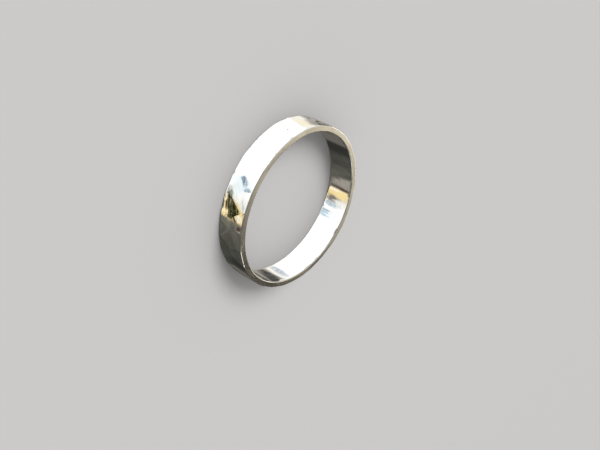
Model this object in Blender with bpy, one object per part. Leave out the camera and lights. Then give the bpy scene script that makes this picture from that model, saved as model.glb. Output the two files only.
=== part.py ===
"""Hammered flat band ring, one solid of silver, lying on its lower rim.

Metres, +Z up. The finger hole runs along Z, and the origin is the centre of the rim that the ring rests on.
The outer face is worked as the smith works it: round stock is struck flat, one hammer mark after another, so
the face is a field of flats that meet in ridges. The finger hole is smooth.
"""
import math
import random

import bmesh
import bpy
from mathutils import Vector

# The band
BORE_DIAMETER = 0.0173
WALL = 0.00067
WIDTH = 0.0033
CROWN = 0.00006
OUTER_EDGE = 0.00005
BORE_EDGE = 0.00007

# How the hand-bent band leaves a true round: (so many lobes, how far they stand out, where the first one is)
BENDS = (
    (2, 0.00011, math.radians(44)),
    (3, 0.00005, math.radians(98)),
)

# The hammer marks, and how much one blow differs from the next
MARKS_AROUND = 26
MARK_ROWS = 3
FIRST_MARK_TURN = math.radians(223)
ROW_STAGGER = (0.0, 0.55, 0.22)
BLOW_DEPTH_SPREAD = 0.000012
BLOW_PLACE_SPREAD = 0.16
BLOW_LEAN_SPREAD = math.radians(1.1)
BLOW_SEED = 11

# Fineness of the finger hole, the spare metal that the stock and the cutter have over the finished size, and how
# close two corners of the flats may come before they are one
BORE_SIDES = 144
SPARE = 0.0006
SAME_CORNER = 0.000001

SILVER_COLOUR = (0.90, 0.89, 0.86, 1.0)
SILVER_ROUGHNESS = 0.15


def clear_scene():
    for old in list(bpy.data.objects):
        bpy.data.objects.remove(old, do_unlink=True)


def silver():
    material = bpy.data.materials.new("silver")
    material.use_nodes = True
    shader = material.node_tree.nodes["Principled BSDF"]
    shader.inputs["Base Color"].default_value = SILVER_COLOUR
    shader.inputs["Metallic"].default_value = 1.0
    shader.inputs["Roughness"].default_value = SILVER_ROUGHNESS
    return material


def bent(radius, angle):
    """The radius at an angle, once the band has been bent by hand."""
    return radius + sum(reach * math.cos(lobes * (angle - turn)) for lobes, reach, turn in BENDS)


def outline_normal(radius, angle):
    """The direction that the bent outline faces at an angle, seen from above."""
    slope = sum(-lobes * reach * math.sin(lobes * (angle - turn)) for lobes, reach, turn in BENDS)
    turn = angle - math.atan2(slope, bent(radius, angle))
    return Vector((math.cos(turn), math.sin(turn), 0.0))


def hammer_marks():
    """A point and an outward normal for each flat, row after row from the lower rim up."""
    blows = random.Random(BLOW_SEED)
    pitch = math.tau / MARKS_AROUND
    row_height = WIDTH / MARK_ROWS
    face_radius = BORE_DIAMETER / 2 + WALL
    for row in range(MARK_ROWS):
        height = row_height * (row + 0.5)
        off_middle = (height - WIDTH / 2) / (WIDTH / 2)
        lean = math.atan2(2 * CROWN * off_middle, WIDTH / 2)
        fall = CROWN * off_middle ** 2
        for mark in range(MARKS_AROUND):
            place = mark + ROW_STAGGER[row] + blows.uniform(-1, 1) * BLOW_PLACE_SPREAD
            angle = FIRST_MARK_TURN + place * pitch
            depth = blows.uniform(-1, 1) * BLOW_DEPTH_SPREAD
            blow_lean = lean + blows.uniform(-1, 1) * BLOW_LEAN_SPREAD
            radius = bent(face_radius, angle) - fall - depth
            point = Vector((radius * math.cos(angle), radius * math.sin(angle), height))
            normal = outline_normal(face_radius, angle) * math.cos(blow_lean)
            normal.z = math.sin(blow_lean)
            yield row, point, normal


def strike_flat(bm, point, normal):
    """Take off everything beyond a plane and close the cut."""
    everything = bm.verts[:] + bm.edges[:] + bm.faces[:]
    cut = bmesh.ops.bisect_plane(bm, geom=everything, dist=1e-9, plane_co=point, plane_no=normal, clear_outer=True)
    rim = [edge for edge in cut["geom_cut"] if isinstance(edge, bmesh.types.BMEdge)]
    if rim:
        bmesh.ops.contextual_create(bm, geom=rim)


def ease_edge(bm, point, normal, height, up):
    """Take the sharpness off the rim above or below one hammer mark."""
    reach = (height - point.z) * normal.z / (1 - normal.z ** 2)
    outward = Vector((normal.x, normal.y, 0.0))
    edge_point = Vector((point.x, point.y, height)) - outward * reach
    slant = (outward.normalized() + Vector((0, 0, up))).normalized()
    strike_flat(bm, edge_point - slant * OUTER_EDGE / math.sqrt(2), slant)


def hammered_stock():
    """A solid slug as wide as the band, with every hammer mark and eased edge on it."""
    bm = bmesh.new()
    stock_radius = BORE_DIAMETER / 2 + WALL + sum(reach for lobes, reach, turn in BENDS) + SPARE
    bmesh.ops.create_cone(bm, cap_ends=True, segments=MARKS_AROUND, radius1=stock_radius, radius2=stock_radius,
                          depth=WIDTH)
    bmesh.ops.translate(bm, verts=bm.verts, vec=(0, 0, WIDTH / 2))
    marks = list(hammer_marks())
    for row, point, normal in marks:
        strike_flat(bm, point, normal)
    for row, point, normal in marks:
        if row == 0:
            ease_edge(bm, point, normal, 0.0, -1)
        if row == MARK_ROWS - 1:
            ease_edge(bm, point, normal, WIDTH, 1)
    bmesh.ops.remove_doubles(bm, verts=bm.verts, dist=SAME_CORNER)
    bmesh.ops.recalc_face_normals(bm, faces=bm.faces)
    mesh = bpy.data.meshes.new("band")
    bm.to_mesh(mesh)
    bm.free()
    return mesh


def bore_profile():
    """Radius and height down the finger hole, with its two eased edges, past both rims."""
    bore_radius = BORE_DIAMETER / 2
    flare = BORE_EDGE + SPARE
    return (
        (bore_radius + flare, -SPARE),
        (bore_radius, BORE_EDGE),
        (bore_radius, WIDTH - BORE_EDGE),
        (bore_radius + flare, WIDTH + SPARE),
    )


def bore_cutter():
    """A closed plug of the finger hole's shape."""
    bm = bmesh.new()
    rings = []
    for radius, height in bore_profile():
        ring = []
        for side in range(BORE_SIDES):
            angle = math.tau * side / BORE_SIDES
            reach = bent(radius, angle)
            ring.append(bm.verts.new((reach * math.cos(angle), reach * math.sin(angle), height)))
        rings.append(ring)
    for lower, upper in zip(rings, rings[1:]):
        for side in range(BORE_SIDES):
            after = (side + 1) % BORE_SIDES
            bm.faces.new((lower[side], lower[after], upper[after], upper[side]))
    bm.faces.new(list(reversed(rings[0])))
    bm.faces.new(rings[-1])
    mesh = bpy.data.meshes.new("bore_cutter")
    bm.to_mesh(mesh)
    bm.free()
    cutter = bpy.data.objects.new("bore_cutter", mesh)
    bpy.context.collection.objects.link(cutter)
    cutter.hide_render = True
    cutter.display_type = "WIRE"
    return cutter


def band():
    mesh = hammered_stock()
    cutter = bore_cutter()
    mesh.materials.append(silver())
    ring = bpy.data.objects.new("band", mesh)
    bpy.context.collection.objects.link(ring)
    bore = ring.modifiers.new("finger_hole", "BOOLEAN")
    bore.operation = "DIFFERENCE"
    bore.object = cutter
    return ring


clear_scene()
band()
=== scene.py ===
"""Hammered band ring: the finished silver, and the plain studio that it is shown in."""
import math
from typing import NamedTuple

import bpy
from bpy.props import FloatProperty, FloatVectorProperty, IntProperty, PointerProperty
from mathutils import Matrix, Quaternion, Vector


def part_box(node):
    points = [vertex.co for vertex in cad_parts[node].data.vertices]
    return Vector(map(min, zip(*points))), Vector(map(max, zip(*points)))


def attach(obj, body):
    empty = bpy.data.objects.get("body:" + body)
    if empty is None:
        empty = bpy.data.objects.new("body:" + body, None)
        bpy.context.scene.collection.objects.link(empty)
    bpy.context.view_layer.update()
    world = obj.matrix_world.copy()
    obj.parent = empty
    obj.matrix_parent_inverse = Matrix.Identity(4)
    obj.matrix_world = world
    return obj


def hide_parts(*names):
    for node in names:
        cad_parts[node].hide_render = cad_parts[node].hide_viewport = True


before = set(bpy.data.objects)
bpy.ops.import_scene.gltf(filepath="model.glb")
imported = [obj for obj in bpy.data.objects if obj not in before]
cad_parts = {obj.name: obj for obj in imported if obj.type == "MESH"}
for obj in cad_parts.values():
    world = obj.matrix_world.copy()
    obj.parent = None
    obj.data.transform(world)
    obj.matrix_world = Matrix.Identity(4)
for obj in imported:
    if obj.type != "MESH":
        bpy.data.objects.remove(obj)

bl_info = {
    "name": "Hammered band ring",
    "version": (1, 0, 0),
    "blender": (4, 5, 0),
    "location": "View3D > Sidebar > Ring",
    "description": "Finishes a hammered silver band and sets it in a plain studio",
    "category": "Object",
}

LOW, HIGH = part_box("band")
BAND_WIDTH = HIGH.z - LOW.z
FACE_RADIUS = (HIGH.x - LOW.x) / 2
MM = 0.001

# The noise values at which a nick starts and is deepest, and at which a rim leans most inward and outward
NICK_STARTS = 0.54
NICK_DEEPEST = 0.72
NICK_DETAIL = 1.5
LEAN_INWARD = 0.3
LEAN_OUTWARD = 0.7
LEAN_DETAIL = 0.0
WAVE_DETAIL = 1.0

# How many edge roundings the nicks and the wear reach in from an edge, and how far up or down a rim faces
EDGE_REACH = 3.0
RIM_FACING = 0.7

# The crown falls off with a square. This is the square's mean, so that the mean wall stays as it is
CROWN_MEAN = 1 / 3

SENSOR_WIDTH = 36.0
NEAREST_SEEN = 1 * MM
FARTHEST_SEEN = 10.0


class LightCard(NamedTuple):
    """A soft oval of colour in the surround, which the silver mirrors.

    Its angles are in degrees. Its half width and half height are seen straight on, from its middle.
    """

    azimuth: float
    elevation: float
    half_width: float
    half_height: float
    turn: float
    softness: float
    colour: tuple


# The middle of the bright half of the surround, and its colours by the angle above that half's edge
SKY_AZIMUTH = 226.0
SKY_ELEVATION = 8.4
SKY_COLOURS = (
    (-70, (0.048, 0.049, 0.045)),
    (-55, (0.062, 0.063, 0.056)),
    (-40, (0.086, 0.085, 0.073)),
    (-25, (0.118, 0.115, 0.098)),
    (-8, (0.18, 0.17, 0.145)),
    (-3, (0.70, 0.66, 0.55)),
    (3, (0.98, 0.96, 0.90)),
    (12, (1.10, 1.12, 1.14)),
    (40, (1.35, 1.37, 1.40)),
)

# The ceiling that the rims mirror
CEILING_COLOUR = (0.24, 0.225, 0.195)
CEILING_STARTS = math.sin(math.radians(2))
CEILING_FULL = math.sin(math.radians(16))

CARDS = (
    # Over the rims and their edges
    LightCard(300, 25, 58, 36, 0, 0.25, (0.11, 0.10, 0.09)),
    LightCard(72, 32, 20, 22, 0, 0.3, (0.045, 0.042, 0.036)),
    LightCard(128, 34, 31.2, 32, 0, 0.1, (0.69, 0.645, 0.545)),
    LightCard(118, 6, 21, 17, 0, 0.15, (2.10, 2.05, 1.90)),
    LightCard(6, 12, 14, 22, 0, 0.3, (1.60, 1.50, 1.30)),
    # Light and dark in the dim half
    LightCard(61, -33.5, 12, 3.6, 0, 0.3, (0.135, 0.126, 0.112)),
    LightCard(36.5, -33.5, 8, 3.6, 0, 0.35, (0.032, 0.032, 0.030)),
    # Where the bright half gives way to the dim one, on its left
    LightCard(121, -37.3, 11, 3.5, 0, 0.2, (0.48, 0.45, 0.42)),
    LightCard(116, -33.8, 3.5, 0.9, 0, 0.5, (0.36, 0.34, 0.315)),
    LightCard(136, -38.6, 7.5, 2.2, -4, 0.5, (0.98, 0.95, 0.87)),
    LightCard(151, -35.4, 5.5, 2.4, 0, 0.5, (1.00, 0.94, 0.76)),
    LightCard(138.5, -33.7, 5.6, 1.3, 0, 0.4, (0.40, 0.37, 0.33)),
    LightCard(131, -32.6, 12, 0.9, 0, 0.4, (0.072, 0.073, 0.074)),
    LightCard(157, -32.4, 5, 0.8, 0, 0.5, (0.52, 0.58, 0.66)),
    # Warm and dark patches, where it gives way on its right
    LightCard(317, -38.6, 11, 4.8, -6, 0.15, (0.90, 0.74, 0.38)),
    LightCard(324.5, -42.2, 5.5, 1.3, 10, 0.2, (1.00, 0.84, 0.48)),
    LightCard(317, -43.1, 6, 1.5, 0, 0.2, (1.15, 0.98, 0.58)),
    LightCard(319.5, -31.5, 6, 3.2, 0, 0.15, (0.96, 0.78, 0.40)),
    LightCard(303, -40.8, 5.5, 1.9, 0, 0.3, (0.085, 0.10, 0.055)),
    LightCard(310, -40.8, 5.5, 2.0, 3, 0.15, (0.030, 0.036, 0.014)),
    LightCard(316, -39.5, 11, 2.1, 4, 0.12, (0.016, 0.020, 0.007)),
    LightCard(327.6, -39.2, 2.4, 1.8, 0, 0.15, (0.022, 0.026, 0.012)),
    LightCard(322, -37.0, 5.5, 2.8, -20, 0.15, (0.018, 0.022, 0.009)),
    LightCard(325, -35.4, 2.0, 1.6, 0, 0.2, (0.030, 0.032, 0.018)),
    LightCard(323.8, -32, 2.0, 1.0, 0, 0.3, (1.05, 0.96, 0.80)),
    LightCard(338, -30.8, 8, 1.1, 0, 0.5, (0.35, 0.325, 0.29)),
    LightCard(328.9, -31.4, 1.6, 0.6, -22, 0.3, (0.08, 0.055, 0.045)),
    # Patches of blue in the bright half
    LightCard(281, -38, 11, 5, 0, 0.8, (0.86, 1.00, 1.08)),
    LightCard(277, -36.5, 2.2, 1.1, 15, 0.4, (0.19, 0.26, 0.35)),
    LightCard(285.3, -33.1, 4.8, 1.2, 16, 0.25, (0.33, 0.41, 0.49)),
    LightCard(296, -42.8, 5, 1.6, 12, 0.4, (0.13, 0.16, 0.10)),
    LightCard(300.5, -31.4, 3.5, 0.6, 0, 0.5, (0.46, 0.60, 0.68)),
    LightCard(309.5, -31.6, 4.5, 0.45, 0, 0.5, (0.17, 0.15, 0.14)),
    LightCard(283, -31.7, 4, 0.6, 0, 0.6, (0.40, 0.60, 0.74)),
)
# The heights between which the bright half is brightest, and how dim and uneven it is above and below them
SKY_FULL_FROM = math.sin(math.radians(-47))
SKY_FULL_TO = math.sin(math.radians(-28.5))
SKY_FADE = 0.13
SKY_DIMMED = 0.58
SKY_CLOUD_SCALE = 4.0
SKY_CLOUD_DETAIL = 3.0
SKY_CLOUD_RANGE = (0.35, 0.65)
SKY_CLOUD_DARK = 0.66

# How ragged the edges in the surround are, and the streaks in its dim half
RAGGED_SCALE = 15.0
RAGGED_DETAIL = 3.0
RAGGED_REACH = 0.05
STREAK_SCALE = (5.0, 5.0, 32.0)
STREAK_DETAIL = 4.0
STREAK_RANGE = (0.3, 0.7)
STREAK_TONES = (0.70, 1.30)

# The angles above the bright half's edge between which the dim half gives way to it
DIM_ENDS = math.radians(-4)
BRIGHT_FULL = math.radians(1)


class Gouge(NamedTuple):
    """A small dent in the hammered face.

    Its angle and slant are in degrees, its sizes in millimetres, and its depth is a share of a pit's.
    """

    angle: float
    height: float
    half_length: float
    half_width: float
    slant: float
    depth: float


GOUGES = (
    Gouge(200.6, 0.38, 0.42, 0.13, 58, 0.8),
    Gouge(202.0, 0.96, 0.48, 0.18, 46, 0.95),
    Gouge(203.2, 1.50, 0.38, 0.10, 66, 0.75),
    Gouge(201.2, 2.08, 0.58, 0.21, 24, 1.0),
    Gouge(203.0, 2.60, 0.36, 0.12, 52, 0.9),
    Gouge(204.2, 3.04, 0.50, 0.12, 20, 1.0),
    Gouge(228.0, 1.79, 0.12, 0.10, 0, 0.8),
)
# How far and over what length the gouges' edges wander, how far one can reach from its middle, and the shares
# of its half sizes at which it is deepest and ends
GOUGE_RAGGED = 0.55 * MM
GOUGE_RAGGED_SIZE = 0.30 * MM
GOUGE_REACH = 1.5 * MM
GOUGE_DEEPEST = 0.5
GOUGE_ENDS = 1.1

# Runs of stray scratches: length, spacing and slant in millimetres, and how often they sway round the band
SCRATCH_RUNS = ((2.6, 0.055, 0.9, 3.0), (1.8, 0.05, -1.7, 4.0))
SCRATCH_SOFTNESS = 0.06
SCRATCH_DETAIL = 0.0

# How often the polishing lines sway round the band, and how fine they are
LINE_SWAYS = 2.0
LINE_DETAIL = 3.0

# The share of a pit's radius that is at full depth, a pit's least share of the full size, and its roughness
PIT_DEEPEST = 0.4
PIT_LEAST = 0.001
PIT_ROUGHNESS = 0.4
RAGGED_EDGE_DETAIL = 2.0

TARNISH_DETAIL = 4.0
TARNISH_DISTORTION = 0.6

# Where edges are rubbed bright: the size of the patches, how patchy, and the share of roughness that is left
WEAR_PATCH_SIZE = 1.1 * MM
WEAR_PATCHINESS = 0.7
WEAR_RANGE = (0.4, 0.6)
WEAR_DETAIL = 2.0
WORN_ROUGHNESS = 0.6

FLOOR_ROUGHNESS = 0.9


class Working(NamedTuple):
    """How one surface of the band was worked. Lengths are in metres."""

    line_length: float
    line_spacing: float
    line_slant: float
    scratch_start: float
    pit_spacing: float
    pit_radius: float
    pit_share: float
    tarnish_size: float
    tarnish_start: float
    tarnish_full: float
    tarnish_share: float
    dull_share: float
    wear_share: float


HAMMERED_WORKING = Working(
    line_length=2.4 * MM, line_spacing=0.16 * MM, line_slant=0.5 * MM, scratch_start=0.69,
    pit_spacing=0.9 * MM, pit_radius=0.15 * MM, pit_share=0.16,
    tarnish_size=1.6 * MM, tarnish_start=0.48, tarnish_full=0.74, tarnish_share=0.35,
    dull_share=0.05, wear_share=0.8)
BORE_WORKING = Working(
    line_length=4.0 * MM, line_spacing=0.12 * MM, line_slant=0.1 * MM, scratch_start=0.70,
    pit_spacing=1.4 * MM, pit_radius=0.10 * MM, pit_share=0.08,
    tarnish_size=2.2 * MM, tarnish_start=0.52, tarnish_full=0.78, tarnish_share=0.30,
    dull_share=0.04, wear_share=0.8)
RIM_WORKING = Working(
    line_length=1.8 * MM, line_spacing=0.09 * MM, line_slant=0.0, scratch_start=0.66,
    pit_spacing=0.7 * MM, pit_radius=0.09 * MM, pit_share=0.12,
    tarnish_size=1.2 * MM, tarnish_start=0.42, tarnish_full=0.68, tarnish_share=0.40,
    dull_share=0.12, wear_share=0.6)


class BandShape(bpy.types.PropertyGroup):
    """How fine the worked metal is made, and how the tools left it."""

    steps_around: IntProperty(
        name="Steps Around", description="Facets of the mesh round the ring", default=1080, min=64)
    step_across: FloatProperty(
        name="Step Across", description="Length of a facet across the band", default=0.11 * MM,
        unit="LENGTH")
    edge_round: FloatProperty(
        name="Edge Rounding", description="Radius that polishing gave the rims' edges", default=0.09 * MM,
        unit="LENGTH")
    edge_steps: IntProperty(
        name="Edge Steps", description="Facets round one eased edge", default=4, min=1)
    ridge_passes: IntProperty(
        name="Ridge Softening", description="Passes that soften the ridges between marks", default=2, min=0)
    bore_passes: IntProperty(
        name="Bore Trueing", description="Passes that make the finger hole smooth", default=90, min=0)
    mark_flatness: FloatProperty(
        name="Mark Flatness", description="How flat a hammer mark is, from 0, as round as the ring, to 1",
        subtype="FACTOR", default=0.6, min=0, max=1)
    crown: FloatProperty(
        name="Crown", description="How far the hammered face stands out in its middle", default=0.06 * MM,
        unit="LENGTH")
    ripple_depth: FloatProperty(
        name="Ripple Depth", description="Depth of the small waves in a mark", default=0.005 * MM,
        unit="LENGTH")
    bore_ripple_depth: FloatProperty(
        name="Bore Ripple Depth", description="Depth of the small waves in the finger hole",
        default=0.0012 * MM, unit="LENGTH")
    ripple_length: FloatProperty(
        name="Ripple Length", description="Length of the small waves", default=1.1 * MM, unit="LENGTH")
    nick_depth: FloatProperty(
        name="Nick Depth", description="Depth of the small dents along the edges", default=0.03 * MM,
        unit="LENGTH")
    nick_spacing: FloatProperty(
        name="Nick Spacing", description="Distance between the dents along the edges", default=0.9 * MM,
        unit="LENGTH")
    rim_lean: FloatProperty(
        name="Rim Lean", description="How much filing took off one side of a rim", default=0.04 * MM,
        unit="LENGTH")
    rim_lean_length: FloatProperty(
        name="Rim Lean Length", description="Length over which the lean of a rim changes", default=4 * MM,
        unit="LENGTH")


# The inputs of the band's tree that BandShape fills: label, socket type and property
SHAPE_INPUTS = (
    ("Steps Around", "NodeSocketInt", "steps_around"),
    ("Step Across", "NodeSocketFloat", "step_across"),
    ("Edge Rounding", "NodeSocketFloat", "edge_round"),
    ("Edge Steps", "NodeSocketInt", "edge_steps"),
    ("Ridge Softening", "NodeSocketInt", "ridge_passes"),
    ("Bore Trueing", "NodeSocketInt", "bore_passes"),
    ("Mark Flatness", "NodeSocketFloat", "mark_flatness"),
    ("Crown", "NodeSocketFloat", "crown"),
    ("Ripple Depth", "NodeSocketFloat", "ripple_depth"),
    ("Bore Ripple Depth", "NodeSocketFloat", "bore_ripple_depth"),
    ("Ripple Length", "NodeSocketFloat", "ripple_length"),
    ("Nick Depth", "NodeSocketFloat", "nick_depth"),
    ("Nick Spacing", "NodeSocketFloat", "nick_spacing"),
    ("Rim Lean", "NodeSocketFloat", "rim_lean"),
    ("Rim Lean Length", "NodeSocketFloat", "rim_lean_length"),
)


class SilverFinish(bpy.types.PropertyGroup):
    """Colours, polish and wear of the silver."""

    silver: FloatVectorProperty(
        name="Silver", description="Colour of polished silver", subtype="COLOR", size=3,
        default=(0.95, 0.935, 0.905))
    dull_silver: FloatVectorProperty(
        name="Dull Silver", description="Colour of the filed rims", subtype="COLOR", size=3,
        default=(0.90, 0.86, 0.765))
    tarnish: FloatVectorProperty(
        name="Tarnish", description="Colour of the thin tarnish", subtype="COLOR", size=3,
        default=(0.72, 0.66, 0.53))
    dirt: FloatVectorProperty(
        name="Dirt", description="Colour of the dirt in small pits", subtype="COLOR", size=3,
        default=(0.05, 0.045, 0.04))
    outer_roughness: FloatProperty(
        name="Outer Roughness", description="Roughness of the hammered face", subtype="FACTOR", default=0.03)
    bore_roughness: FloatProperty(
        name="Bore Roughness", description="Roughness inside the finger hole", subtype="FACTOR",
        default=0.035)
    rim_roughness: FloatProperty(
        name="Rim Roughness", description="Roughness of the filed rims", subtype="FACTOR", default=0.25)
    line_depth: FloatProperty(
        name="Line Depth", description="Depth of the polishing lines on the faces", default=0.0001 * MM,
        unit="LENGTH")
    file_depth: FloatProperty(
        name="File Depth", description="Depth of the file's lines on the rims", default=0.0005 * MM,
        unit="LENGTH")
    scratch_depth: FloatProperty(
        name="Scratch Depth", description="Depth of the stray scratches", default=0.0003 * MM, unit="LENGTH")
    pit_depth: FloatProperty(
        name="Pit Depth", description="Depth of the small pits", default=0.012 * MM, unit="LENGTH")


class StudioLook(bpy.types.PropertyGroup):
    """The floor, the lights and the camera."""

    floor_colour: FloatVectorProperty(
        name="Floor", description="Colour of the floor", subtype="COLOR", size=3, default=(0.62, 0.61, 0.60))
    floor_size: FloatProperty(
        name="Floor Size", description="Side of the square floor", default=2.4, unit="LENGTH")
    fill: FloatProperty(
        name="Fill", description="Strength of the even light from all round", default=0.52)
    key_strength: FloatProperty(
        name="Key", description="Strength of the large soft light", default=2.0)
    key_spread: FloatProperty(
        name="Key Spread", description="How wide the large soft light looks from the ring", subtype="ANGLE",
        default=math.radians(32))
    key_from: FloatVectorProperty(
        name="Key From", description="Direction that the large soft light comes from", subtype="DIRECTION",
        size=3, default=(-0.60, -0.42, 0.75))
    focal_length: FloatProperty(
        name="Focal Length", description="Lens of the camera in millimetres", default=45.6)
    camera_place: FloatVectorProperty(
        name="Camera Place", description="Where the camera stands", subtype="TRANSLATION", unit="LENGTH",
        size=3, precision=5, default=(0.868 * MM, -68.416 * MM, 47.853 * MM))
    camera_aim: FloatVectorProperty(
        name="Camera Aim", description="The point that the camera looks at", subtype="TRANSLATION",
        unit="LENGTH", size=3, precision=5, default=(1.664 * MM, 3.605 * MM, 1.65 * MM))
    camera_roll: FloatProperty(
        name="Camera Roll", description="Turn of the camera about its line of sight", subtype="ANGLE",
        default=math.radians(118.155))


def node(tree, kind, *inputs, **settings):
    """A node of a tree, with its settings and its inputs in order; a socket is linked, a value is set."""
    new = tree.nodes.new(kind)
    for name, value in settings.items():
        setattr(new, name, value)
    usable = [socket for socket in new.inputs if socket.enabled]
    for socket, value in zip(usable, inputs):
        if isinstance(value, bpy.types.NodeSocket):
            tree.links.new(value, socket)
        elif value is not None:
            socket.default_value = value
    return new


def maths(tree, operation, *inputs):
    """The result of a Math node."""
    return node(tree, "ShaderNodeMath", *inputs, operation=operation).outputs[0]


def vector_maths(tree, operation, *inputs, result="Vector"):
    """The result of a Vector Math node."""
    return node(tree, "ShaderNodeVectorMath", *inputs, operation=operation).outputs[result]


def mixed(tree, share, first, second, blend="MIX"):
    """Two colours mixed by a share of the second."""
    mix = node(tree, "ShaderNodeMix", share, first, second, data_type="RGBA", blend_type=blend)
    return next(socket for socket in mix.outputs if socket.enabled)


def between(tree, value, start, end, first=0.0, last=1.0):
    """A value taken softly from one range to another, and held at its ends."""
    return node(tree, "ShaderNodeMapRange", value, start, end, first, last,
                interpolation_type="SMOOTHSTEP").outputs[0]


def noise_node(tree, place, detail, scale=1.0, size=None):
    """A Noise node at a place, with a scale or with a socket for the size of its grain."""
    noise = node(tree, "ShaderNodeTexNoise", place, noise_dimensions="3D")
    noise.inputs["Scale"].default_value = scale
    noise.inputs["Detail"].default_value = detail
    if size is not None:
        tree.links.new(maths(tree, "DIVIDE", 1.0, size), noise.inputs["Scale"])
    return noise


def shifted(tree, place, noise, reach):
    """A place moved about by a Noise node's colour, within a reach."""
    shift = vector_maths(tree, "SUBTRACT", noise.outputs["Color"], (0.5, 0.5, 0.5))
    return vector_maths(tree, "ADD", place, vector_maths(tree, "SCALE", shift, reach))


def diagonal(tree, first, second):
    """The length that two sides at a right angle give."""
    squares = [maths(tree, "POWER", side, 2.0) for side in (first, second)]
    return maths(tree, "SQRT", maths(tree, "ADD", *squares))


def upright(tree, height):
    """A vector that points straight up by a height."""
    return node(tree, "ShaderNodeCombineXYZ", 0.0, 0.0, height).outputs[0]


def level_and_height(tree, place):
    """A place's level part, away from the finger hole's axis, and its height."""
    parts = node(tree, "ShaderNodeSeparateXYZ", place).outputs
    return node(tree, "ShaderNodeCombineXYZ", parts[0], parts[1], 0.0).outputs[0], parts[2]


def new_tree(name, kind, sockets, results):
    """A node tree with its named inputs, (name, socket type, default), and outputs, (name, socket type)."""
    tree = bpy.data.node_groups.new(name, kind)
    for label, socket_type, default in sockets:
        socket = tree.interface.new_socket(label, in_out="INPUT", socket_type=socket_type)
        if default is not None:
            socket.default_value = default
    for label, socket_type in results:
        tree.interface.new_socket(label, in_out="OUTPUT", socket_type=socket_type)
    return tree


def set_modifier_input(modifier, label, value):
    """Set a geometry tree's named input through its socket's identifier."""
    for item in modifier.node_group.interface.items_tree:
        if item.item_type == "SOCKET" and item.in_out == "INPUT" and item.name == label:
            modifier[item.identifier] = value
            return
    raise KeyError(f"the tree has no input named {label}")


def band_profile(tree, given):
    """The band's cross-section as a curve: a rectangle with eased corners and even steps along its sides."""
    section = node(tree, "GeometryNodeCurvePrimitiveQuadrilateral", given["Wall"], given["Width"])
    eased = node(tree, "GeometryNodeFilletCurve", section.outputs[0], given["Edge Steps"],
                 given["Edge Rounding"], mode="POLY")
    here = node(tree, "GeometryNodeInputPosition").outputs[0]
    index = node(tree, "GeometryNodeInputIndex").outputs[0]
    count = node(tree, "GeometryNodeAttributeDomainSize", eased.outputs[0], component="CURVE").outputs[0]
    after = maths(tree, "MODULO", maths(tree, "ADD", index, 1.0), count)
    there = node(tree, "GeometryNodeSampleIndex", eased.outputs[0], here, after, data_type="FLOAT_VECTOR",
                 domain="POINT").outputs[0]
    gap = vector_maths(tree, "DISTANCE", here, there, result="Value")
    cuts = maths(tree, "FLOOR", maths(tree, "DIVIDE", gap, given["Step Across"]))
    return node(tree, "GeometryNodeSubdivideCurve", eased.outputs[0], cuts).outputs[0]


def surface_reach(tree, solid, start, direction, length):
    """Distance from the finger hole's axis to where a level ray meets the solid."""
    ray = node(tree, "GeometryNodeRaycast", solid, None, start, direction, length)
    across = level_and_height(tree, ray.outputs["Hit Position"])[0]
    return vector_maths(tree, "LENGTH", across, result="Value")


def waves(tree, place, length, depth):
    """Soft waves of the metal, as a height above and below its mean."""
    noise = noise_node(tree, place, WAVE_DETAIL, size=length)
    from_mean = maths(tree, "SUBTRACT", noise.outputs[0], 0.5)
    return maths(tree, "MULTIPLY", from_mean, maths(tree, "MULTIPLY", depth, 2.0))


def nicks(tree, place, spacing, depth):
    """Depth of the small dents that the edges have here and there."""
    noise = noise_node(tree, place, NICK_DETAIL, size=spacing)
    return maths(tree, "MULTIPLY", between(tree, noise.outputs[0], NICK_STARTS, NICK_DEEPEST), depth)


def edge_nearness(tree, given, share, height):
    """One along the four eased edges of the band, falling to nothing on its faces."""
    from_bore = maths(tree, "MULTIPLY", share, given["Wall"])
    from_side = maths(tree, "MINIMUM", from_bore, maths(tree, "SUBTRACT", given["Wall"], from_bore))
    from_end = maths(tree, "MINIMUM", height, maths(tree, "SUBTRACT", given["Width"], height))
    reach = maths(tree, "MULTIPLY", given["Edge Rounding"], EDGE_REACH)
    near = [between(tree, away, 0.0, reach, 1.0, 0.0) for away in (from_side, from_end)]
    return maths(tree, "MULTIPLY", *near)


def filed_height(tree, given, place, share, height):
    """The height of a point once filing has left each rim leaning a little in or out, here and there."""
    noise = noise_node(tree, place, LEAN_DETAIL, size=given["Rim Lean Length"])
    lean = node(tree, "ShaderNodeMapRange", noise.outputs[0], LEAN_INWARD, LEAN_OUTWARD, -1.0, 1.0).outputs[0]
    off_centre = maths(tree, "MULTIPLY", lean, maths(tree, "SUBTRACT", share, 0.5))
    filed = maths(tree, "MULTIPLY", maths(tree, "ADD", 0.5, off_centre), given["Rim Lean"])
    middle = maths(tree, "MULTIPLY", given["Width"], 0.5)
    kept = maths(tree, "SUBTRACT", 1.0, maths(tree, "DIVIDE", filed, middle))
    from_middle = maths(tree, "SUBTRACT", height, middle)
    return maths(tree, "ADD", middle, maths(tree, "MULTIPLY", from_middle, kept))


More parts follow.
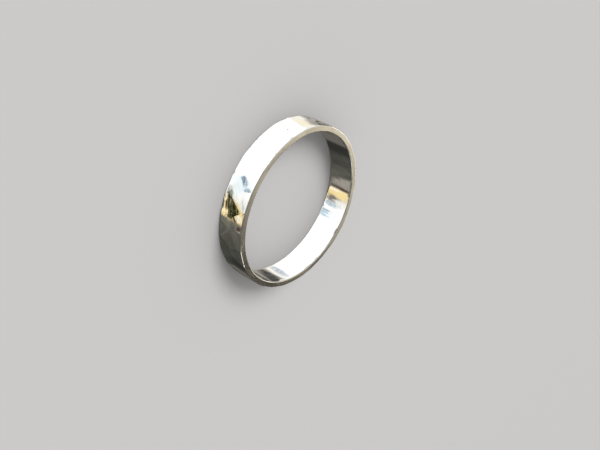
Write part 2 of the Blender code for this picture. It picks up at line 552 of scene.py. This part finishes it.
def hammered_tree():
    """Sweep a fine section round the ring and lay it onto the hammered solid that the tree is given."""
    tree = new_tree("hammered_band", "GeometryNodeTree", (
        ("Geometry", "NodeSocketGeometry", None),
        ("Bore Radius", "NodeSocketFloat", None),
        ("Wall", "NodeSocketFloat", None),
        ("Width", "NodeSocketFloat", None),
        *((label, kind, None) for label, kind, name in SHAPE_INPUTS),
        ("Hammered Face", "NodeSocketMaterial", None),
        ("Bore", "NodeSocketMaterial", None),
        ("Rims", "NodeSocketMaterial", None),
    ), (("Geometry", "NodeSocketGeometry"),))
    given = node(tree, "NodeGroupInput").outputs
    solid = given["Geometry"]
    middle = maths(tree, "ADD", given["Bore Radius"], maths(tree, "MULTIPLY", given["Wall"], 0.5))
    path = node(tree, "GeometryNodeCurvePrimitiveCircle", given["Steps Around"])
    tree.links.new(middle, path.inputs["Radius"])
    sweep = node(tree, "GeometryNodeCurveToMesh", path.outputs[0], band_profile(tree, given)).outputs[0]

    place = node(tree, "GeometryNodeInputPosition").outputs[0]
    level, from_middle = level_and_height(tree, place)
    outward = vector_maths(tree, "NORMALIZE", level)
    nominal = vector_maths(tree, "LENGTH", level, result="Value")
    half_width = maths(tree, "MULTIPLY", given["Width"], 0.5)
    height = maths(tree, "ADD", from_middle, half_width)

    face_top = maths(tree, "SUBTRACT", given["Width"], given["Edge Rounding"])
    face_height = node(tree, "ShaderNodeClamp", height, given["Edge Rounding"], face_top).outputs[0]
    lift = upright(tree, face_height)
    far = maths(tree, "MULTIPLY", middle, 2.0)
    outside = vector_maths(tree, "ADD", vector_maths(tree, "SCALE", outward, far), lift)
    inward = vector_maths(tree, "SCALE", outward, -1.0)
    outer = surface_reach(tree, solid, outside, inward, far)
    inner = surface_reach(tree, solid, lift, outward, far)
    outer, inner = (
        node(tree, "GeometryNodeBlurAttribute", reach, passes, 1.0, data_type="FLOAT").outputs[0]
        for reach, passes in ((outer, given["Ridge Softening"]), (inner, given["Bore Trueing"])))

    share = maths(tree, "DIVIDE", maths(tree, "SUBTRACT", nominal, given["Bore Radius"]), given["Wall"])
    outside_half = maths(tree, "GREATER_THAN", share, 0.5)
    wall = maths(tree, "SUBTRACT", outer, inner)
    mean_wall = node(tree, "GeometryNodeAttributeStatistic", sweep, outside_half, wall, data_type="FLOAT",
                     domain="POINT").outputs["Mean"]
    off_middle = maths(tree, "DIVIDE", from_middle, half_width)
    stands_out = maths(tree, "SUBTRACT", CROWN_MEAN, maths(tree, "POWER", off_middle, 2.0))
    rounded = maths(tree, "ADD", inner, mean_wall)
    rounded = maths(tree, "ADD", rounded, maths(tree, "MULTIPLY", stands_out, given["Crown"]))
    outer = node(tree, "ShaderNodeMix", given["Mark Flatness"], rounded, outer).outputs[0]

    outer = maths(tree, "ADD", outer, waves(tree, place, given["Ripple Length"], given["Ripple Depth"]))
    inner = maths(tree, "ADD", inner, waves(tree, place, given["Ripple Length"], given["Bore Ripple Depth"]))

    reach = maths(tree, "ADD", inner, maths(tree, "MULTIPLY", share, maths(tree, "SUBTRACT", outer, inner)))
    edge = edge_nearness(tree, given, share, height)
    dent = nicks(tree, place, given["Nick Spacing"], given["Nick Depth"])
    into_metal = maths(tree, "MULTIPLY", maths(tree, "SUBTRACT", outside_half, 0.5), -2.0)
    dent = maths(tree, "MULTIPLY", edge, dent)
    reach = maths(tree, "ADD", reach, maths(tree, "MULTIPLY", into_metal, dent))
    flat_place = vector_maths(tree, "SCALE", outward, reach)
    rise = upright(tree, filed_height(tree, given, place, share, height))
    laid = node(tree, "GeometryNodeSetPosition", sweep, None, vector_maths(tree, "ADD", flat_place, rise))

    side = node(tree, "GeometryNodeStoreNamedAttribute", laid.outputs[0], None, "wall_share", share,
                data_type="FLOAT", domain="POINT").outputs[0]
    side = node(tree, "GeometryNodeStoreNamedAttribute", side, None, "edge_nearness", edge,
                data_type="FLOAT", domain="POINT").outputs[0]
    facing = node(tree, "ShaderNodeSeparateXYZ", node(tree, "GeometryNodeInputNormal").outputs[0]).outputs[2]
    on_rim = maths(tree, "GREATER_THAN", maths(tree, "ABSOLUTE", facing), RIM_FACING)
    face_share = node(tree, "GeometryNodeInputNamedAttribute", "wall_share", data_type="FLOAT").outputs[0]
    in_bore = maths(tree, "LESS_THAN", face_share, 0.5)
    smooth = node(tree, "GeometryNodeSetShadeSmooth", side).outputs[0]
    real = node(tree, "GeometryNodeRealizeInstances", smooth).outputs[0]
    painted = node(tree, "GeometryNodeSetMaterial", real, None, given["Hammered Face"]).outputs[0]
    painted = node(tree, "GeometryNodeSetMaterial", painted, in_bore, given["Bore"]).outputs[0]
    painted = node(tree, "GeometryNodeSetMaterial", painted, on_rim, given["Rims"]).outputs[0]
    node(tree, "NodeGroupOutput", painted)
    return tree


def shader_group(name, sockets, results):
    """A new shader node group, the sockets of its inputs by name, and the node that takes its outputs."""
    tree = new_tree(name, "ShaderNodeTree", sockets, results)
    return tree, node(tree, "NodeGroupInput").outputs, node(tree, "NodeGroupOutput")


def placed(tree, group, *inputs):
    """The result of a shader group placed in a tree."""
    return node(tree, "ShaderNodeGroup", *inputs, node_tree=group).outputs[0]


def band_place_group():
    """Place on the band: round it in steps of one length, and across its faces in steps of another."""
    tree, given, out = shader_group("band_place", (
        ("Length", "NodeSocketFloat", 1.0),
        ("Spacing", "NodeSocketFloat", 1.0),
        ("Slant", "NodeSocketFloat", 0.0),
        ("Slant Waves", "NodeSocketFloat", 3.0),
    ), (("Place", "NodeSocketVector"),))
    place = node(tree, "ShaderNodeTexCoord").outputs["Object"]
    parts = node(tree, "ShaderNodeSeparateXYZ", place)
    level = node(tree, "ShaderNodeCombineXYZ", parts.outputs[0], parts.outputs[1], 0.0).outputs[0]
    turn = vector_maths(tree, "NORMALIZE", level)
    round_band = vector_maths(tree, "SCALE", turn, maths(tree, "DIVIDE", FACE_RADIUS, given["Length"]))
    reach = vector_maths(tree, "LENGTH", level, result="Value")
    across = maths(tree, "ADD", reach, parts.outputs[2])
    angle = maths(tree, "ARCTAN2", parts.outputs[1], parts.outputs[0])
    sway = maths(tree, "SINE", maths(tree, "MULTIPLY", angle, given["Slant Waves"]))
    across = maths(tree, "ADD", across, maths(tree, "MULTIPLY", sway, given["Slant"]))
    rows = maths(tree, "DIVIDE", across, given["Spacing"])
    tree.links.new(vector_maths(tree, "ADD", round_band, upright(tree, rows)), out.inputs["Place"])
    return tree


def polish_lines_group(band_place):
    """Fine lines that run round the band, as a height from 0 to 1."""
    tree, given, out = shader_group("polish_lines", (
        ("Length", "NodeSocketFloat", 3.0),
        ("Spacing", "NodeSocketFloat", 0.1),
        ("Slant", "NodeSocketFloat", 0.0),
    ), (("Lines", "NodeSocketFloat"),))
    place = placed(tree, band_place, given["Length"], given["Spacing"], given["Slant"], LINE_SWAYS)
    tree.links.new(noise_node(tree, place, LINE_DETAIL).outputs[0], out.inputs["Lines"])
    return tree


def scratches_group(band_place):
    """Stray thin scratches, as a mask."""
    tree, given, out = shader_group("scratches", (
        ("Length", "NodeSocketFloat", 2.0),
        ("Spacing", "NodeSocketFloat", 0.1),
        ("Slant", "NodeSocketFloat", 0.0),
        ("Slant Waves", "NodeSocketFloat", 3.0),
        ("Start", "NodeSocketFloat", 0.64),
    ), (("Scratches", "NodeSocketFloat"),))
    place = placed(tree, band_place, given["Length"], given["Spacing"], given["Slant"], given["Slant Waves"])
    noise = noise_node(tree, place, SCRATCH_DETAIL)
    full = maths(tree, "ADD", given["Start"], SCRATCH_SOFTNESS)
    tree.links.new(between(tree, noise.outputs[0], given["Start"], full), out.inputs["Scratches"])
    return tree


def pits_group():
    """Small dents with dirt in them, here and there, as a mask."""
    tree, given, out = shader_group("pits", (
        ("Spacing", "NodeSocketFloat", 0.8),
        ("Radius", "NodeSocketFloat", 0.12),
        ("Share", "NodeSocketFloat", 0.2),
    ), (("Pits", "NodeSocketFloat"),))
    place = node(tree, "ShaderNodeTexCoord").outputs["Object"]
    noise = noise_node(tree, place, RAGGED_EDGE_DETAIL, size=given["Radius"])
    place = shifted(tree, place, noise, given["Radius"])
    spots = node(tree, "ShaderNodeTexVoronoi", place, voronoi_dimensions="3D")
    tree.links.new(maths(tree, "DIVIDE", 1.0, given["Spacing"]), spots.inputs["Scale"])
    chance = node(tree, "ShaderNodeSeparateXYZ", spots.outputs["Color"]).outputs[0]
    size = maths(tree, "DIVIDE", maths(tree, "SUBTRACT", given["Share"], chance), given["Share"])
    size = maths(tree, "MULTIPLY", maths(tree, "MAXIMUM", size, PIT_LEAST), given["Radius"])
    away = maths(tree, "MULTIPLY", spots.outputs["Distance"], given["Spacing"])
    share = maths(tree, "DIVIDE", away, size)
    tree.links.new(between(tree, share, PIT_DEEPEST, 1.0, 1.0, 0.0), out.inputs["Pits"])
    return tree


def gouge_group():
    """One dent at a given place, as a mask."""
    tree, given, out = shader_group("gouge", (
        ("Place", "NodeSocketVector", None),
        ("Middle", "NodeSocketVector", None),
        ("Along", "NodeSocketVector", None),
        ("Across", "NodeSocketVector", None),
    ), (("Gouge", "NodeSocketFloat"),))
    away = vector_maths(tree, "SUBTRACT", given["Place"], given["Middle"])
    along = vector_maths(tree, "DOT_PRODUCT", away, given["Along"], result="Value")
    across = vector_maths(tree, "DOT_PRODUCT", away, given["Across"], result="Value")
    near = maths(tree, "LESS_THAN", vector_maths(tree, "LENGTH", away, result="Value"), GOUGE_REACH)
    oval = between(tree, diagonal(tree, along, across), GOUGE_DEEPEST, GOUGE_ENDS, 1.0, 0.0)
    tree.links.new(maths(tree, "MULTIPLY", oval, near), out.inputs["Gouge"])
    return tree


def gouged(tree, group):
    """All the dents of the hammered face, with ragged edges, as a mask."""
    place = node(tree, "ShaderNodeTexCoord").outputs["Object"]
    noise = noise_node(tree, place, RAGGED_EDGE_DETAIL, 1 / GOUGE_RAGGED_SIZE)
    place = shifted(tree, place, noise, GOUGE_RAGGED)
    mask = 0.0
    for gouge in GOUGES:
        turn, slant = math.radians(gouge.angle), math.radians(gouge.slant)
        upward = Vector((0.0, 0.0, 1.0))
        outward = Vector((math.cos(turn), math.sin(turn), 0.0))
        round_band = Vector((-math.sin(turn), math.cos(turn), 0.0))
        middle = outward * FACE_RADIUS + upward * gouge.height * MM
        along = (round_band * math.cos(slant) + upward * math.sin(slant)) / (gouge.half_length * MM)
        across = (upward * math.cos(slant) - round_band * math.sin(slant)) / (gouge.half_width * MM)
        dent = placed(tree, group, place, middle, along, across)
        mask = maths(tree, "MAXIMUM", mask, maths(tree, "MULTIPLY", dent, gouge.depth))
    return mask


def tarnish_group():
    """Clouds of thin tarnish, as a mask."""
    tree, given, out = shader_group("tarnish", (
        ("Size", "NodeSocketFloat", 2.0),
        ("Start", "NodeSocketFloat", 0.45),
        ("Full", "NodeSocketFloat", 0.7),
    ), (("Tarnish", "NodeSocketFloat"),))
    place = node(tree, "ShaderNodeTexCoord").outputs["Object"]
    noise = noise_node(tree, place, TARNISH_DETAIL, size=given["Size"])
    noise.inputs["Distortion"].default_value = TARNISH_DISTORTION
    tree.links.new(between(tree, noise.outputs[0], given["Start"], given["Full"]), out.inputs["Tarnish"])
    return tree


def edge_wear_group():
    """Where the eased edges are rubbed bright, as a mask."""
    tree, given, out = shader_group("edge_wear", (
        ("Patch Size", "NodeSocketFloat", 1.0),
        ("Patchiness", "NodeSocketFloat", 0.5),
    ), (("Wear", "NodeSocketFloat"),))
    nearness = node(tree, "ShaderNodeAttribute", attribute_name="edge_nearness").outputs["Fac"]
    place = node(tree, "ShaderNodeTexCoord").outputs["Object"]
    noise = noise_node(tree, place, WEAR_DETAIL, size=given["Patch Size"])
    unworn = maths(tree, "MULTIPLY", between(tree, noise.outputs[0], *WEAR_RANGE), given["Patchiness"])
    worn = maths(tree, "MULTIPLY", nearness, maths(tree, "SUBTRACT", 1.0, unworn))
    tree.links.new(worn, out.inputs["Wear"])
    return tree


def silver_material(name, groups, finish, working, colour, roughness, line_depth, hammered=False):
    """Worked silver: polishing lines, scratches, pits, thin tarnish and edges that are rubbed bright."""
    material = bpy.data.materials.new(name)
    material.use_nodes = True
    tree = material.node_tree
    shader = tree.nodes["Principled BSDF"]
    lines = placed(
        tree, groups["polish_lines"], working.line_length, working.line_spacing, working.line_slant)
    scratched = maths(tree, "MAXIMUM", *(
        placed(tree, groups["scratches"], length * MM, spacing * MM, slant * MM, sways, working.scratch_start)
        for length, spacing, slant, sways in SCRATCH_RUNS))
    pits = placed(tree, groups["pits"], working.pit_spacing, working.pit_radius, working.pit_share)
    if hammered:
        pits = maths(tree, "MAXIMUM", pits, gouged(tree, groups["gouge"]))
    tarnish = placed(
        tree, groups["tarnish"], working.tarnish_size, working.tarnish_start, working.tarnish_full)
    wear = placed(tree, groups["edge_wear"], WEAR_PATCH_SIZE, WEAR_PATCHINESS)

    film = maths(tree, "MULTIPLY", tarnish, working.tarnish_share)
    tone = mixed(tree, film, (*colour, 1.0), (*finish.tarnish, 1.0))
    tone = mixed(tree, maths(tree, "MULTIPLY", wear, working.wear_share), tone, (*finish.silver, 1.0))
    tone = mixed(tree, pits, tone, (*finish.dirt, 1.0))
    tree.links.new(tone, shader.inputs["Base Color"])

    rough = maths(tree, "ADD", roughness, maths(tree, "MULTIPLY", film, working.dull_share))
    rough = maths(tree, "ADD", rough, maths(tree, "MULTIPLY", scratched, working.dull_share))
    rough = maths(tree, "MULTIPLY", rough, between(tree, wear, 0.0, 1.0, 1.0, WORN_ROUGHNESS))
    rough = maths(tree, "ADD", rough, maths(tree, "MULTIPLY", pits, PIT_ROUGHNESS))
    tree.links.new(rough, shader.inputs["Roughness"])

    height = maths(tree, "MULTIPLY", lines, line_depth)
    height = maths(tree, "SUBTRACT", height, maths(tree, "MULTIPLY", scratched, finish.scratch_depth))
    height = maths(tree, "SUBTRACT", height, maths(tree, "MULTIPLY", pits, finish.pit_depth))
    bump = node(tree, "ShaderNodeBump")
    bump.inputs["Strength"].default_value = 1.0
    bump.inputs["Distance"].default_value = 1.0
    tree.links.new(height, bump.inputs["Height"])
    tree.links.new(bump.outputs[0], shader.inputs["Normal"])
    shader.inputs["Metallic"].default_value = 1.0
    return material


def silver_groups():
    """The shader groups that the silver's materials share, by name."""
    band_place = band_place_group()
    return {
        "polish_lines": polish_lines_group(band_place),
        "scratches": scratches_group(band_place),
        "pits": pits_group(),
        "gouge": gouge_group(),
        "tarnish": tarnish_group(),
        "edge_wear": edge_wear_group(),
    }


class RING_OT_hammered_band(bpy.types.Operator):
    """Make the finished band over the hammered solid"""

    bl_idname = "ring.hammered_band"
    bl_label = "Hammered Band"

    def execute(self, context):
        shape = context.scene.band_shape
        finish = context.scene.silver_finish
        groups = silver_groups()
        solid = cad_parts["band"]
        reaches = [math.hypot(vertex.co.x, vertex.co.y) for vertex in solid.data.vertices]
        bore_radius = min(reaches)
        work = bpy.data.objects.new("band_work", solid.data.copy())
        context.scene.collection.objects.link(work)
        maker = work.modifiers.new("hammered_band", "NODES")
        maker.node_group = hammered_tree()
        for label, value in (
            ("Bore Radius", bore_radius),
            ("Wall", max(reaches) - bore_radius),
            ("Width", BAND_WIDTH),
            *((label, getattr(shape, name)) for label, kind, name in SHAPE_INPUTS),
            ("Hammered Face", silver_material(
                "hammered_silver", groups, finish, HAMMERED_WORKING, finish.silver, finish.outer_roughness,
                finish.line_depth, hammered=True)),
            ("Bore", silver_material(
                "bore_silver", groups, finish, BORE_WORKING, finish.silver, finish.bore_roughness,
                finish.line_depth)),
            ("Rims", silver_material(
                "rim_silver", groups, finish, RIM_WORKING, finish.dull_silver, finish.rim_roughness,
                finish.file_depth)),
        ):
            set_modifier_input(maker, label, value)
        evaluated = work.evaluated_get(context.evaluated_depsgraph_get())
        mesh = bpy.data.meshes.new_from_object(evaluated)
        mesh.name = "hammered_band"
        bpy.data.objects.remove(work)
        piece = bpy.data.objects.new("hammered_band", mesh)
        context.scene.collection.objects.link(piece)
        if not len(mesh.polygons):
            raise RuntimeError("the band came out empty")
        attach(piece, "root")
        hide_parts("band")
        return {"FINISHED"}


def towards(azimuth, elevation):
    """The direction at an azimuth and an elevation in degrees."""
    turn, climb = math.radians(azimuth), math.radians(elevation)
    return Vector((math.cos(climb) * math.cos(turn), math.cos(climb) * math.sin(turn), math.sin(climb)))


def light_card_group():
    """Lay one soft oval card over the colours of the surround."""
    tree, given, out = shader_group("light_card", (
        ("Direction", "NodeSocketVector", None),
        ("Middle", "NodeSocketVector", None),
        ("Sideways", "NodeSocketVector", None),
        ("Upward", "NodeSocketVector", None),
        ("Softness", "NodeSocketFloat", 0.5),
        ("Card Colour", "NodeSocketColor", None),
        ("Colour", "NodeSocketColor", None),
    ), (("Colour", "NodeSocketColor"),))
    seen = given["Direction"]
    sideways = vector_maths(tree, "DOT_PRODUCT", seen, given["Sideways"], result="Value")
    upward = vector_maths(tree, "DOT_PRODUCT", seen, given["Upward"], result="Value")
    inner = maths(tree, "SUBTRACT", 1.0, given["Softness"])
    outer = maths(tree, "ADD", 1.0, given["Softness"])
    oval = between(tree, diagonal(tree, sideways, upward), inner, outer, 1.0, 0.0)
    ahead = vector_maths(tree, "DOT_PRODUCT", seen, given["Middle"], result="Value")
    shown = maths(tree, "MULTIPLY", oval, maths(tree, "GREATER_THAN", ahead, 0.0))
    tree.links.new(mixed(tree, shown, given["Colour"], given["Card Colour"]), out.inputs["Colour"])
    return tree


def lay_card(tree, group, direction, card, colour):
    """The surround's colour with one card laid over it."""
    middle = towards(card.azimuth, card.elevation)
    level = Vector((0, 0, 1)).cross(middle).normalized()
    turn = Quaternion(middle, math.radians(card.turn))
    sideways = (turn @ level) / math.sin(math.radians(card.half_width))
    upward = (turn @ middle.cross(level)) / math.sin(math.radians(card.half_height))
    card_colour = (*card.colour, 1.0)
    return placed(tree, group, direction, middle, sideways, upward, card.softness, card_colour, colour)


def surround_colour(tree):
    """What the silver mirrors: a bright half, a dim half, a ceiling, and soft cards of colour."""
    direction = node(tree, "ShaderNodeTexCoord").outputs["Generated"]
    ragged = noise_node(tree, direction, RAGGED_DETAIL, RAGGED_SCALE)
    direction = vector_maths(tree, "NORMALIZE", shifted(tree, direction, ragged, RAGGED_REACH))

    climb = vector_maths(tree, "DOT_PRODUCT", direction, towards(SKY_AZIMUTH, SKY_ELEVATION), result="Value")
    angle = maths(tree, "ARCSINE", climb)
    share = node(tree, "ShaderNodeMapRange", angle, -math.pi / 2, math.pi / 2, 0.0, 1.0).outputs[0]
    ramp = node(tree, "ShaderNodeValToRGB", share)
    stops = ramp.color_ramp.elements
    while len(stops) < len(SKY_COLOURS):
        stops.new(1.0)
    for stop, (degrees, colour) in zip(stops, SKY_COLOURS):
        stop.position = 0.5 + degrees / 180
        stop.color = (*colour, 1.0)

    up = node(tree, "ShaderNodeSeparateXYZ", direction).outputs[2]
    clouds = noise_node(tree, direction, SKY_CLOUD_DETAIL, SKY_CLOUD_SCALE)
    cloudy = between(tree, clouds.outputs[0], *SKY_CLOUD_RANGE, SKY_CLOUD_DARK, 1.0)
    dimmed = maths(tree, "MULTIPLY", cloudy, SKY_DIMMED)
    above = between(tree, up, SKY_FULL_TO, SKY_FULL_TO + SKY_FADE)
    below = between(tree, up, SKY_FULL_FROM, SKY_FULL_FROM - SKY_FADE)
    kept = node(tree, "ShaderNodeMix", maths(tree, "MAXIMUM", above, below), 1.0, dimmed).outputs[0]
    sky = vector_maths(tree, "SCALE", ramp.outputs[0], kept)

    streaks = noise_node(tree, vector_maths(tree, "MULTIPLY", direction, STREAK_SCALE), STREAK_DETAIL)
    tone = between(tree, streaks.outputs[0], *STREAK_RANGE, *STREAK_TONES)
    streaked = vector_maths(tree, "SCALE", ramp.outputs[0], tone)
    bright = between(tree, angle, DIM_ENDS, BRIGHT_FULL)
    colour = mixed(tree, bright, streaked, sky)
    overhead = between(tree, up, CEILING_STARTS, CEILING_FULL)
    dim = maths(tree, "SUBTRACT", 1.0, bright)
    colour = mixed(tree, maths(tree, "MULTIPLY", overhead, dim), colour, (*CEILING_COLOUR, 1.0))
    group = light_card_group()
    for card in CARDS:
        colour = lay_card(tree, group, direction, card, colour)
    return colour


def link_to_scene(name, data):
    """A new object of the scene."""
    made = bpy.data.objects.new(name, data)
    bpy.context.scene.collection.objects.link(made)
    return made


def make_camera(look):
    """The camera, with its sensor across the picture and its depth of field off."""
    lens = bpy.data.cameras.new("camera")
    lens.lens = look.focal_length
    lens.sensor_fit = "HORIZONTAL"
    lens.sensor_width = SENSOR_WIDTH
    lens.clip_start = NEAREST_SEEN
    lens.clip_end = FARTHEST_SEEN
    camera = link_to_scene("camera", lens)
    place = Vector(look.camera_place)
    sight = (Vector(look.camera_aim) - place).to_track_quat("-Z", "Y")
    camera.matrix_world = Matrix.LocRotScale(place, sight @ Quaternion((0, 0, 1), look.camera_roll), None)
    bpy.context.scene.camera = camera


def make_floor(look):
    """A plain pale floor. The silver doesn't mirror it, so the dark half of its reflections stays dark."""
    half = look.floor_size / 2
    mesh = bpy.data.meshes.new("floor")
    corners = [(-half, -half, 0), (half, -half, 0), (half, half, 0), (-half, half, 0)]
    mesh.from_pydata(corners, [], [(0, 1, 2, 3)])
    material = bpy.data.materials.new("floor")
    material.use_nodes = True
    shader = material.node_tree.nodes["Principled BSDF"]
    shader.inputs["Base Color"].default_value = (*look.floor_colour, 1.0)
    shader.inputs["Roughness"].default_value = FLOOR_ROUGHNESS
    mesh.materials.append(material)
    floor = link_to_scene("floor", mesh)
    floor.visible_glossy = False


def make_key_light(look):
    """The large soft light that throws the shadow. The silver mirrors the surround's cards in its place."""
    lamp = bpy.data.lights.new("key", "SUN")
    lamp.energy = look.key_strength
    lamp.angle = look.key_spread
    key = link_to_scene("key", lamp)
    key.rotation_euler = Vector(look.key_from).to_track_quat("Z", "Y").to_euler()
    key.visible_glossy = False


def backdrop_colour(look):
    """The colour of the lit floor, so that the floor's far edge doesn't show against what is behind it."""
    slope = Vector(look.key_from).normalized().z
    light = look.fill + look.key_strength * slope / math.pi
    return [part * light for part in look.floor_colour]


def make_surround(look):
    """Even light for the floor, a plain backdrop, and the bright half and cards that the silver mirrors."""
    world = bpy.data.worlds.new("studio")
    world.use_nodes = True
    world.cycles.sampling_method = "NONE"
    tree = world.node_tree
    even = tree.nodes["Background"]
    even.inputs["Color"].default_value = (1.0, 1.0, 1.0, 1.0)
    even.inputs["Strength"].default_value = look.fill
    mirrored = node(tree, "ShaderNodeBackground", surround_colour(tree), 1.0)
    glossy = node(tree, "ShaderNodeLightPath").outputs["Is Glossy Ray"]
    backdrop = node(tree, "ShaderNodeBackground", (*backdrop_colour(look), 1.0), 1.0)
    straight = node(tree, "ShaderNodeLightPath").outputs["Is Camera Ray"]
    mix = node(tree, "ShaderNodeMixShader", glossy, even.outputs[0], mirrored.outputs[0])
    mix = node(tree, "ShaderNodeMixShader", straight, mix.outputs[0], backdrop.outputs[0])
    tree.links.new(mix.outputs[0], tree.nodes["World Output"].inputs["Surface"])
    bpy.context.scene.world = world


class RING_OT_studio(bpy.types.Operator):
    """Set the floor, the lights and the camera"""

    bl_idname = "ring.studio"
    bl_label = "Studio"

    def execute(self, context):
        look = context.scene.studio_look
        make_camera(look)
        make_floor(look)
        make_key_light(look)
        make_surround(look)
        context.scene.cycles.caustics_reflective = False
        context.scene.view_settings.view_transform = "Standard"
        return {"FINISHED"}


class RING_PT_maker(bpy.types.Panel):
    """Sizes, finish and studio of the ring"""

    bl_idname = "RING_PT_maker"
    bl_label = "Hammered Band Ring"
    bl_space_type = "VIEW_3D"
    bl_region_type = "UI"
    bl_category = "Ring"

    def draw(self, context):
        for group in (context.scene.band_shape, context.scene.silver_finish, context.scene.studio_look):
            box = self.layout.box()
            for name in group.__annotations__:
                box.prop(group, name)
        for operator in (RING_OT_hammered_band, RING_OT_studio):
            self.layout.operator(operator.bl_idname)


CLASSES = (BandShape, SilverFinish, StudioLook, RING_OT_hammered_band, RING_OT_studio, RING_PT_maker)


def register():
    """Add the classes, and the values that the operators read to the scene."""
    for kind in CLASSES:
        bpy.utils.register_class(kind)
    bpy.types.Scene.band_shape = PointerProperty(type=BandShape)
    bpy.types.Scene.silver_finish = PointerProperty(type=SilverFinish)
    bpy.types.Scene.studio_look = PointerProperty(type=StudioLook)


def unregister():
    """Take away what register added."""
    del bpy.types.Scene.studio_look
    del bpy.types.Scene.silver_finish
    del bpy.types.Scene.band_shape
    for kind in reversed(CLASSES):
        bpy.utils.unregister_class(kind)


def main():
    """Build the studio and the band."""
    register()
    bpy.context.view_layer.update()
    bpy.ops.ring.studio()
    bpy.ops.ring.hammered_band()


if __name__ == "__main__":
    main()
